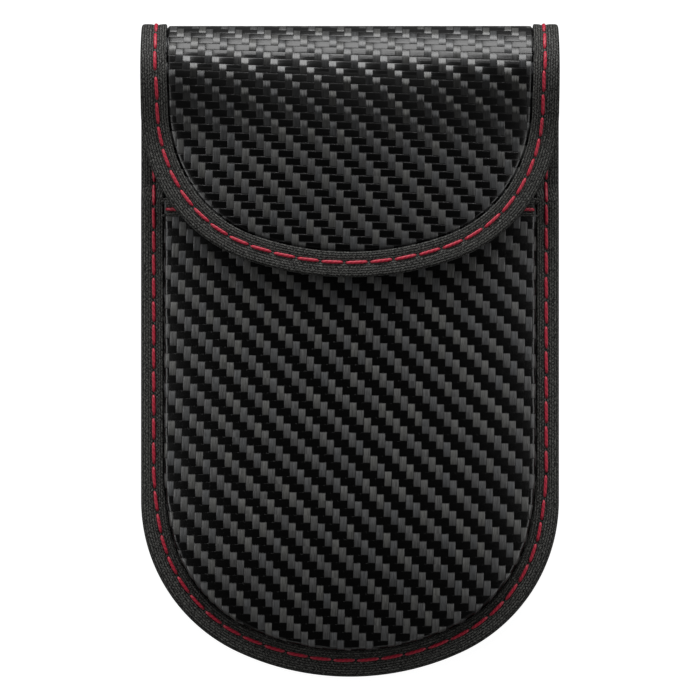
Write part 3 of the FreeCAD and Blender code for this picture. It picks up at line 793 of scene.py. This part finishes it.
# How far the needle had come after so many stitches, up the right side and up the left side.
BODY_STITCHES = (
    ((0, 5, 10, 15, 20, 23, 30), (1.39, 29.0, 55.6, 82.1, 108.9, 124.8, 159.2)),
    ((0, 1, 6, 11, 16, 31), (-1.39, 4.06, 31.1, 57.7, 83.8, 159.2)),
)
FLAP_STITCHES = (
    ((0, 8, 14), (-1.26, 42.7, 72.8)),
    ((0, 13), (1.26, 71.5)),
)
FOLD_STITCHES = 3  # on each half of the fold
HALF_STITCH = 2.6  # there the stitches of one face lie so far on from those of the other
FOLD_SEAM_PAST = 3.7  # the fold's stitches go on so far into the flap
MOUTH_STITCHES = 16
MOUTH_SEAM_HALF = 40.0
SEAM_TOP = TAPE_TOP - SEAM_GROOVE
SEAM_UNDER = TAPE_TOP - NECK_STACK + SEAM_GROOVE
BACK_SINK = 0.3  # the stitches on the back are pressed into the tape, clear of the table
SINK_RUN = 4.0
THREAD_COLOURS = ("#7e1224", "#a62438")
THREAD_TWIST = 1.1  # length of one turn of the ply
THREAD_PLIES = 2.0
THREAD_FUZZ = 1.2
THREAD_PLY = (-0.6, 1.6)  # between these the ply turns from dark to pale
THREAD_ROUGHNESS = 0.45
THREAD_SPECULAR = 0.3
POLYESTER_IOR = 1.55

# Twisted polyester: a soft silky red, with the plies as slanting lighter bands and a little fuzz.
red_thread = bpy.data.materials.new("twisted red polyester thread")
add = node_adder(red_thread)
uv = add("UVMap", uv_map="cloth")
place = add("SeparateXYZ", uv)
twist = add("DIVIDE", place.outputs["X"], THREAD_TWIST)
lay = add("MULTIPLY_ADD", place.outputs["Y"], THREAD_PLIES, twist)
ply_wave = add("SINE", add("MULTIPLY", lay, 2 * math.pi))
fuzz = add("TexNoise", {"Vector": uv, "Scale": 3.0, "Detail": 2.0})
ply = add("MapRange", add("MULTIPLY_ADD", fuzz, THREAD_FUZZ, ply_wave), *THREAD_PLY)
dark, pale = map(to_linear, THREAD_COLOURS)
mixed = add("Mix", {0: ply, 6: dark, 7: pale}, data_type="RGBA")
skin = add("BsdfPrincipled", {
    "Base Color": mixed.outputs[2], "Roughness": THREAD_ROUGHNESS, "IOR": POLYESTER_IOR,
    "Specular IOR Level": THREAD_SPECULAR,
})
add("OutputMaterial", skin)


def seam_cells(rows):
    """Middle and pitch of each stitch round an outline, from the left side's top to the right side's."""
    middles, pitches = [], []
    for (numbers, distances), side in zip(rows, (1, -1)):
        ends = np.interp(np.arange(numbers[-1] + 1), numbers, distances)
        middles.append(side * (ends[1:] + ends[:-1]) / 2)
        pitches.append(np.diff(ends))
    middles, pitches = np.concatenate(middles), np.concatenate(pitches)
    order = np.argsort(middles)
    return middles[order], pitches[order]


def stitch_grids(middles, pitches, half_width=THREAD_HALF_WIDTH, half_height=THREAD_HALF_HEIGHT):
    """Along, aside and height of stitches: each a thread whose ends narrow and dip, lying at a slant."""
    t = np.linspace(-1, 1, 13)[None, :, None]
    turned = np.linspace(0, 2 * math.pi, 11)[None, None, :]
    half_run = (pitches * STITCH_SHARE / 2)[:, None, None]
    taper = np.sqrt(np.clip(1 - t ** 4, 0, 1))
    along = middles[:, None, None] + half_run * t + 0 * turned
    aside = STITCH_SLANT * t + half_width * taper * np.cos(turned) + 0 * half_run
    height = half_height * (STITCH_RISE - STITCH_DIP * t ** 6 + taper * np.sin(turned)) + 0 * half_run
    return along, aside, height, join(along, turned / (2 * math.pi))


def even_stitches(start, stop, count, *thread):
    """So many stitches of one pitch between two ends."""
    pitch = (stop - start) / count
    return stitch_grids(start + pitch * (np.arange(count) + 0.5), np.full(count, pitch), *thread)


def lay_stitches(name, faces, thread):
    """One piece from several sets of stitches, each a pair of points and places along and round."""
    points, covers = map(np.concatenate, zip(*faces))
    return lay_surface(name, points, covers, thread, closed=True)


def body_place(along, inset, height, hidden):
    """A point over the seam's groove on the front of the body's rim, or on its back where hidden."""
    if hidden:
        return join(*outline(BODY, along, inset), SEAM_GROOVE + BACK_SINK - height)
    return join(*outline(BODY, along, inset + front_more(along)), body_stack(along) - SEAM_GROOVE + height)


def flap_place(along, inset, height, hidden):
    """A point over the seam's groove on the outside of the flap's rim, or under it where hidden."""
    x, y = outline(FLAP, along, inset + flap_more(along))
    return on_strip(x, flap_run(y), SEAM_UNDER - height if hidden else SEAM_TOP + height)


def sew(name, place, rows, seam):
    """Stitches on both faces of an edge, the hidden ones half a pitch on from those that show."""
    middles, pitches = seam_cells(rows)
    between = (middles[1:] + middles[:-1]) / 2
    faces = []
    for hidden, stitches in ((False, (middles, pitches)), (True, (between, pitches[1:]))):
        along, aside, height, cover = stitch_grids(*stitches)
        faces.append((place(along, seam + aside, height, hidden), cover))
    return lay_stitches(name, faces, red_thread)


body_thread = sew("body_red_stitching", body_place, BODY_STITCHES, BODY_SEAM)
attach(body_thread, "pouch")
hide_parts("body_stitching")

flap_thread = sew("flap_red_stitching", flap_place, FLAP_STITCHES, FLAP_SEAM)
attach(flap_thread, "flap")
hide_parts("flap_stitching")


def fold_thread(name, outer_span, inner_span):
    """The stitches of half the fold, on both sides of the pouch and both faces of the tape."""
    faces = []
    for span, lift, way in ((outer_span, SEAM_TOP, 1), (inner_span, SEAM_UNDER, -1)):
        run, aside, height, cover = even_stitches(*span, FOLD_STITCHES)
        sink = BACK_SINK * (1 - smooth_step((run - BACK_RUN) / SINK_RUN)) * (way > 0)
        x = over_fold(run, HALF_WIDTH - BODY_SEAM, FLAP_HALF_WIDTH - FLAP_SEAM) - aside
        for side in (-1, 1):
            faces.append((on_strip(side * x, run, lift - sink + way * height), cover))
    return lay_stitches(name, faces, red_thread)


seam_end = FLAP_RUN + FOLD_SEAM_PAST
fold_threads = [
    fold_thread("fold_red_stitching_lower", (FOLD_START - HALF_STITCH, APEX_RUN), (FOLD_START, APEX_RUN)),
    fold_thread("fold_red_stitching_upper", (APEX_RUN, seam_end), (APEX_RUN, seam_end + HALF_STITCH)),
]
bend_over_fold(*fold_threads)
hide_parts("fold_stitching")

along, aside, height, cover = even_stitches(-MOUTH_SEAM_HALF, MOUTH_SEAM_HALF, MOUTH_STITCHES)
outside = mouth_place(along, MOUTH_SEAM + aside, SEAM_TOP + height)
inside = mouth_place(along, MOUTH_SEAM + aside, TAPE_TOP - MOUTH_STACK + SEAM_GROOVE - height)[1:-1]
mouth_thread = lay_stitches("mouth_red_stitching", [(outside, cover), (inside, cover[1:-1])], red_thread)
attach(mouth_thread, "pouch")
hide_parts("mouth_stitching")

# Lining: metallised ripstop, two layers that stop radio waves. It covers the back's inside, runs on
# over the fold and under the flap, and faces the front wall, sewn in under the tape at every edge.
LINING_AT_RIM = 1.3
LINING_OVER_FOAM = 1.95
LINING_STEP = 1.2  # the lining climbs the foam's edge over this width
LINING_STEP_AT_FOLD = 2.5
BACK_FOAM_INSET = 7.8
FLAP_FOAM_INSET = 5.3
FOAM_TOP_Y = 60.6
FRONT_LINING_RIM = 1.85
FRONT_LINING_INSET = 7.2
FRONT_LINING_DEPTH = 1.95
FRONT_LINING_TURN = 1.6
LINING_GRID = (np.array([2.0, 3.4, 4.6, 5.4, 6.2, 7.0, 7.8, 8.6, 9.6]), 61, 1.6)  # ring, columns, spacing
RIPSTOP_SQUARE = 5.0
RIPSTOP_YARN = 0.5  # coarser than the real yarns, so that they show
RIPSTOP_RELIEF = 0.05
RIPSTOP_GRID = 0.8  # rise of the grid, in yarns
# share of the tone that is painted shade and light of crumples
LINING_PAINTED_CRUMPLE_SHADE = 0.5
LINING_METAL = 0.7
LINING_ROUGHNESS = 0.42
LINING_COLOURS = ("#5d5c5a", "#7a7875")

# Metallised ripstop: a soft metal sheen on fine yarns, with a raised grid, and painted shade and light of
# slight crumples.
ripstop = bpy.data.materials.new("metallised polyester ripstop")
add = node_adder(ripstop)
uv = add("UVMap", uv_map="cloth")
threads = add("TexBrick", {
    "Vector": uv, "Color1": (1, 1, 1, 1), "Color2": (0.8, 0.8, 0.8, 1), "Mortar": (0, 0, 0, 1),
    "Scale": 1.0, "Mortar Size": 0.09, "Mortar Smooth": 0.8,
    "Brick Width": RIPSTOP_YARN, "Row Height": RIPSTOP_YARN / 2,
}, offset=0.5)
squares = add("TexBrick", {
    "Vector": uv, "Color1": (0, 0, 0, 1), "Color2": (0, 0, 0, 1), "Mortar": (1, 1, 1, 1), "Scale": 1.0,
    "Mortar Size": 0.3, "Mortar Smooth": 0.5, "Brick Width": RIPSTOP_SQUARE, "Row Height": RIPSTOP_SQUARE,
}, offset=0.0)
grid_lines = squares.outputs["Fac"]
relief = add("MULTIPLY_ADD", grid_lines, RIPSTOP_GRID, threads.outputs["Color"])
bump = add("Bump", {"Height": relief, "Distance": RIPSTOP_RELIEF * MM})
# Painted shade and light of crumples: large soft patches drawn lighter and darker by noise; the sheet
# itself is smooth.
painted_crumple_shade = add("TexNoise", {"Vector": uv, "Scale": 0.12, "Detail": 4.0})
tone = add("MULTIPLY_ADD", painted_crumple_shade, LINING_PAINTED_CRUMPLE_SHADE, grid_lines)
dark, pale = map(to_linear, LINING_COLOURS)
mixed = add("Mix", {0: tone, 6: dark, 7: pale}, data_type="RGBA")
skin = add("BsdfPrincipled", {
    "Base Color": mixed.outputs[2], "Metallic": LINING_METAL, "Roughness": LINING_ROUGHNESS, "Normal": bump,
})
add("OutputMaterial", skin)


def lining_lift(y, inset, foam_inset):
    """How far the lining lies inside the strip's outer face: at the rim, and lifted over the foam."""
    over_foam = smooth_step((inset - foam_inset) / LINING_STEP)
    over_foam = over_foam * smooth_step((FOAM_TOP_Y - y) / LINING_STEP_AT_FOLD)
    return -LINING_AT_RIM - (LINING_OVER_FOAM - LINING_AT_RIM) * over_foam


x, y, inset = panel_grid(BODY, BACK_TOP, *LINING_GRID)
run = back_run(y)
back_lining = lay_surface("back_lining", on_strip(x, run, lining_lift(y, inset, BACK_FOAM_INSET)),
                          join(x, run), ripstop, flip=True)
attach(back_lining, "pouch")
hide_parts("back_shield_outer", "back_shield_inner")

x, y, inset = panel_grid(FLAP, Y_FOLD, *LINING_GRID)
run = flap_run(y)
flap_lining = lay_surface("flap_lining", on_strip(x, run, lining_lift(y, inset, FLAP_FOAM_INSET)),
                          join(x, run), ripstop)
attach(flap_lining, "flap")
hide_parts("flap_shield_outer", "flap_shield_inner")

fold_linings = [
    lay_surface("fold_lining_" + half, on_strip(FOLD_X, runs, -LINING_AT_RIM), join(FOLD_X, runs), ripstop)
    for half, runs in FOLD_HALVES
]
bend_over_fold(*fold_linings)
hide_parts("fold_shield_outer", "fold_shield_inner")

x, y, inset = panel_grid(BODY, Y_MOUTH, *LINING_GRID)
part_way = np.clip((inset - FRONT_LINING_INSET) / FRONT_LINING_TURN, 0, 1)
ceiling = front_dome(x, y, FRONT_LINING_DEPTH)
height = FRONT_LINING_RIM + (ceiling - FRONT_LINING_RIM) * np.sqrt(1 - (1 - part_way) ** 2)
front_lining = lay_surface("front_lining", join(x, y, height), join(x, y), ripstop)
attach(front_lining, "pouch")
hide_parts("front_shield_outer", "front_shield_inner")

# Loop strip: a woven nylon tape with a napped field of fine loops, sewn to the front panel under the
# flap with black thread along its bare margins.
LOOP_STRIP = (16.0, 18.2, 28.2)  # half length, lower edge and upper edge
STRIP_BASE = 0.3
STRIP_FIELD = 0.42
STRIP_INNER = 2.0  # the even part of the field starts so far in
STRIP_SEAM = 0.6
STRIP_STITCH_PITCH = 2.6
STRIP_THREAD = (0.2, 0.14)  # half width and half height
STRIP_CLEAR = 0.05
LOOP_COUNT = 1500
LOOP_MARGIN = 1.7
LOOP_SIZES = (0.7, 1.0)
LOOP_SPAN = 0.32
LOOP_BEND = 2.1  # radians of its curve from the top to each foot
LOOP_NARROW = 1.1
LOOP_RISE = 0.26
LOOP_ROOT = 0.06  # how deep each loop starts in the field
LOOP_YARN = 0.06  # thicker than the real filaments, so that they show
STRIP_COLOURS = ("#0d0d0d", "#2c2c2c")
STRIP_GRAIN = 2.2  # flecks per millimetre
STRIP_RELIEF = 0.06
BLACK_THREAD_COLOURS = ("#0c0c0c", "#333333")
RANDOM_SEED = 4

# Nylon of the fastener: near black, half glossy, with the fleck of many fine filaments.
nylon = bpy.data.materials.new("black nylon of the fastener")
add = node_adder(nylon)
place = add("TexCoord").outputs["Object"]
grain = add("TexNoise", {"Vector": place, "Scale": STRIP_GRAIN / MM, "Detail": 3.0})
dark, pale = map(to_linear, STRIP_COLOURS)
mixed = add("Mix", {0: grain, 6: dark, 7: pale}, data_type="RGBA")
bump = add("Bump", {"Height": grain, "Distance": STRIP_RELIEF * MM})
skin = add("BsdfPrincipled", {
    "Base Color": mixed.outputs[2], "Roughness": 0.5, "IOR": NYLON_IOR, "Normal": bump,
})
add("OutputMaterial", skin)

# Twisted black polyester: dark, with its plies as slanting grey bands.
black_thread = bpy.data.materials.new("twisted black polyester thread")
add = node_adder(black_thread)
place = add("SeparateXYZ", add("UVMap", uv_map="cloth"))
twist = add("MULTIPLY_ADD", place.outputs["Y"], THREAD_PLIES, place.outputs["X"])
ply_wave = add("SINE", add("MULTIPLY", twist, 2 * math.pi))
ply = add("MapRange", ply_wave, -1.0, 1.0)
dark, pale = map(to_linear, BLACK_THREAD_COLOURS)
mixed = add("Mix", {0: ply, 6: dark, 7: pale}, data_type="RGBA")
skin = add("BsdfPrincipled", {"Base Color": mixed.outputs[2], "Roughness": 0.5, "IOR": POLYESTER_IOR})
add("OutputMaterial", skin)


def strip_plate(name, strip, place, flip):
    """A strip's top face: it drops to what carries it at its edge and rises to its field inside it."""
    ring = np.array([0, 0, 0.12, 0.7, 1.2, 1.35])
    fall = np.array([-0.1, 0.2, STRIP_BASE, STRIP_BASE, STRIP_BASE, STRIP_FIELD])

    def side(low, high, count):
        inner = np.linspace(low + STRIP_INNER, high - STRIP_INNER, count)
        steps = np.concatenate([low + ring, inner, high - ring[::-1]])
        return steps, np.concatenate([fall, np.full(count, STRIP_FIELD), fall[::-1]])

    half_length, low, high = strip
    x, rise_x = side(-half_length, half_length, 21)
    y, rise_y = side(low, high, 7)
    x, y = np.meshgrid(x, y)
    rise = np.minimum(rise_x, rise_y[:, None])
    return lay_surface(name, place(x, y, rise), join(x, y), nylon, flip=flip)


def strip_stitches(name, strip, place):
    """Small stitches along the four sides of a strip's margin."""
    half_length, low, high = strip
    x_end = half_length - STRIP_SEAM
    y_low, y_high = low + STRIP_SEAM, high - STRIP_SEAM
    sides = (((-x_end, y_low), (x_end, y_low)), ((-x_end, y_high), (x_end, y_high)),
             ((-x_end, y_low), (-x_end, y_high)), ((x_end, y_low), (x_end, y_high)))
    faces = []
    for (x_start, y_start), (x_stop, y_stop) in sides:
        length = math.hypot(x_stop - x_start, y_stop - y_start)
        count = round(length / STRIP_STITCH_PITCH)
        along, aside, height, cover = even_stitches(0, length, count, *STRIP_THREAD)
        run_x, run_y = (x_stop - x_start) / length, (y_stop - y_start) / length
        x = x_start + run_x * along - run_y * aside
        y = y_start + run_y * along + run_x * aside
        faces.append((place(x, y, STRIP_BASE + height), cover))
    return lay_stitches(name, faces, black_thread)


def yarn_tubes(path_points, yarn, sides=6):
    """Round tubes about paths of the shape (tubes, steps, 3), closed to a point at both ends.

    Each ring stands square to the path, on axes got from the heading and a fixed sideways direction.
    """
    heading = np.gradient(path_points, axis=1)
    heading /= np.linalg.norm(heading, axis=2, keepdims=True)
    aside = np.cross(heading, np.array([0.31, 0.83, 0.47]))
    aside /= np.linalg.norm(aside, axis=2, keepdims=True)
    other = np.cross(heading, aside)
    turned = np.linspace(0, 2 * math.pi, sides + 1)[None, None, :, None]
    thick = np.ones(path_points.shape[1])
    thick[[0, -1]] = 0
    ring = aside[:, :, None] * np.cos(turned) + other[:, :, None] * np.sin(turned)
    return path_points[:, :, None] + yarn * thick[None, :, None, None] * ring


def on_front_strip(x, y, rise):
    """A point above the front panel's face, where the loop strip is sewn."""
    return on_front(x, y, STRIP_CLEAR + rise)


loop_plate = strip_plate("loop_strip_tape", LOOP_STRIP, on_front_strip, False)
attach(loop_plate, "pouch")
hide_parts("loop_strip")

draws = np.random.default_rng(RANDOM_SEED)
half_length, low, high = LOOP_STRIP
loop_x = draws.uniform(-half_length + LOOP_MARGIN, half_length - LOOP_MARGIN, LOOP_COUNT)[:, None]
loop_y = draws.uniform(low + LOOP_MARGIN, high - LOOP_MARGIN, LOOP_COUNT)[:, None]
loop_turn = draws.uniform(0, math.pi, LOOP_COUNT)[:, None]
loop_size = draws.uniform(*LOOP_SIZES, LOOP_COUNT)[:, None]
t = np.linspace(-1, 1, 7)[None, :]
loop_out = LOOP_SPAN * loop_size * np.sin(t * LOOP_BEND) / LOOP_NARROW
loop_up = STRIP_FIELD - LOOP_ROOT + LOOP_RISE * loop_size * (1 - t ** 4)
loop_x = loop_x + loop_out * np.cos(loop_turn)
loop_y = loop_y + loop_out * np.sin(loop_turn)
loop_grids = yarn_tubes(on_front_strip(loop_x, loop_y, loop_up), LOOP_YARN, sides=4)
loops = lay_surface("loop_strip_loops", loop_grids, loop_grids[..., :2], nylon, closed=True)
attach(loops, "pouch")

loop_seam = strip_stitches("loop_strip_black_stitching", LOOP_STRIP, on_front_strip)
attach(loop_seam, "pouch")
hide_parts("loop_strip_stitching")

# Hook strip: a woven nylon tape set with rows of small stiff hooks, sewn to the flap's lining with
# black thread, hooks facing the loops.
HOOK_STRIP = (14.0, 22.7, 32.7)
HOOK_PITCH_X, HOOK_PITCH_Y = 1.3, 1.1
HOOK_MARGIN = 1.9
HOOK_RISE = 0.26
HOOK_REACH = 0.36
HOOK_TURNS = (1.25, 0.8)  # half turns that it makes outwards and upwards
HOOK_ROOT = 0.05
HOOK_YARN = 0.09  # thicker than the real hooks, so that they show


def under_flap(x, y, rise):
    """A point below the flap's lining, where the hook strip is sewn."""
    return on_strip(x, flap_run(y), -LINING_OVER_FOAM - STRIP_CLEAR - rise)


hook_plate = strip_plate("hook_strip_tape", HOOK_STRIP, under_flap, True)
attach(hook_plate, "flap")
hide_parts("hook_strip")

half_length, low, high = HOOK_STRIP
hook_x, hook_y = np.meshgrid(
    np.arange(-half_length + HOOK_MARGIN, half_length - HOOK_MARGIN + 0.1, HOOK_PITCH_X),
    np.arange(low + HOOK_MARGIN, high - HOOK_MARGIN + 0.1, HOOK_PITCH_Y),
)
hook_x, hook_y = hook_x.reshape(-1, 1), hook_y.reshape(-1, 1)
t = np.linspace(0, 1, 8)[None, :]
hook_lean = np.where(np.arange(len(hook_x)) % 2 == 0, 1, -1)[:, None]
hook_out = HOOK_REACH * (1 - np.cos(t * HOOK_TURNS[0] * math.pi)) / 2
hook_up = STRIP_FIELD - HOOK_ROOT + HOOK_RISE * np.sin(t * HOOK_TURNS[1] * math.pi)
hook_grids = yarn_tubes(under_flap(hook_x + hook_lean * hook_out, hook_y, hook_up), HOOK_YARN)
hooks = lay_surface("hook_strip_hooks", hook_grids, hook_grids[..., :2], nylon, closed=True)
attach(hooks, "flap")

hook_seam = strip_stitches("hook_strip_black_stitching", HOOK_STRIP, under_flap)
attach(hook_seam, "flap")
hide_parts("hook_strip_stitching")

# Foam: thin closed-cell polyethylene sheets between the leathercloth and the lining, cut short of the
# seams. They are sealed in, and stay the solids of the part's source.
FOAM_COLOURS = ("#4c4c4e", "#3a3a3c")
FOAM_CELL = 0.6

# Closed-cell foam: matt dark grey, mottled by its small round cells.
foam = bpy.data.materials.new("closed cell polyethylene foam")
add = node_adder(foam)
place = add("TexCoord").outputs["Object"]
cells = add("TexVoronoi", {"Vector": place, "Scale": 1 / (FOAM_CELL * MM)})
pale, dark = map(to_linear, FOAM_COLOURS)
mixed = add("Mix", {0: cells.outputs["Distance"], 6: pale, 7: dark}, data_type="RGBA")
skin = add("BsdfPrincipled", {"Base Color": mixed.outputs[2], "Roughness": 0.8})
add("OutputMaterial", skin)
for name in ("front_foam", "back_foam", "flap_foam"):
    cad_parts[name].data.materials.clear()
    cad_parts[name].data.materials.append(foam)

# Slot table and cut sizes: what each new piece is made of, and the flat area of each sheet, worked out
# only.
SLOTS = {
    "leathercloth": [back_skin, flap_skin, front_skin, *fold_skins],
    "binding_tape": [body_tape, flap_tape, mouth_tape, *fold_tapes],
    "red_thread": [body_thread, flap_thread, mouth_thread, *fold_threads],
    "shielding_cloth": [back_lining, flap_lining, front_lining, *fold_linings],
    "black_thread": [loop_seam, hook_seam],
    "loop_strip": [loop_plate, loops],
    "hook_strip": [hook_plate, hooks],
}
for slot, made_of_it in SLOTS.items():
    for piece in made_of_it:
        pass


def cut_area(shape, top):
    """Flat area in square metres inside an outline, up to its straight top, from the width at each row."""
    x, y = outline(shape, np.linspace(0, outline_run(shape, top), 2000), LEATHER_EDGE)
    return float(2 * np.sum((x[1:] + x[:-1]) / 2 * np.diff(y))) * MM * MM


for piece, shape, top, under in (
        (back_skin, BODY, BACK_TOP, "back_foam"), (back_lining, BODY, BACK_TOP, "back_foam"),
        (flap_skin, FLAP, Y_FOLD, "flap_foam"), (flap_lining, FLAP, Y_FOLD, "flap_foam"),
        (front_skin, BODY, Y_MOUTH, "front_foam"), (front_lining, BODY, Y_MOUTH, "front_foam")):
    cut_area(shape, top)
for (lower, upper), inner in ((fold_skins, back_skin), (fold_linings, back_lining)):
    (APEX_RUN - back_run(BACK_TOP)) * MM
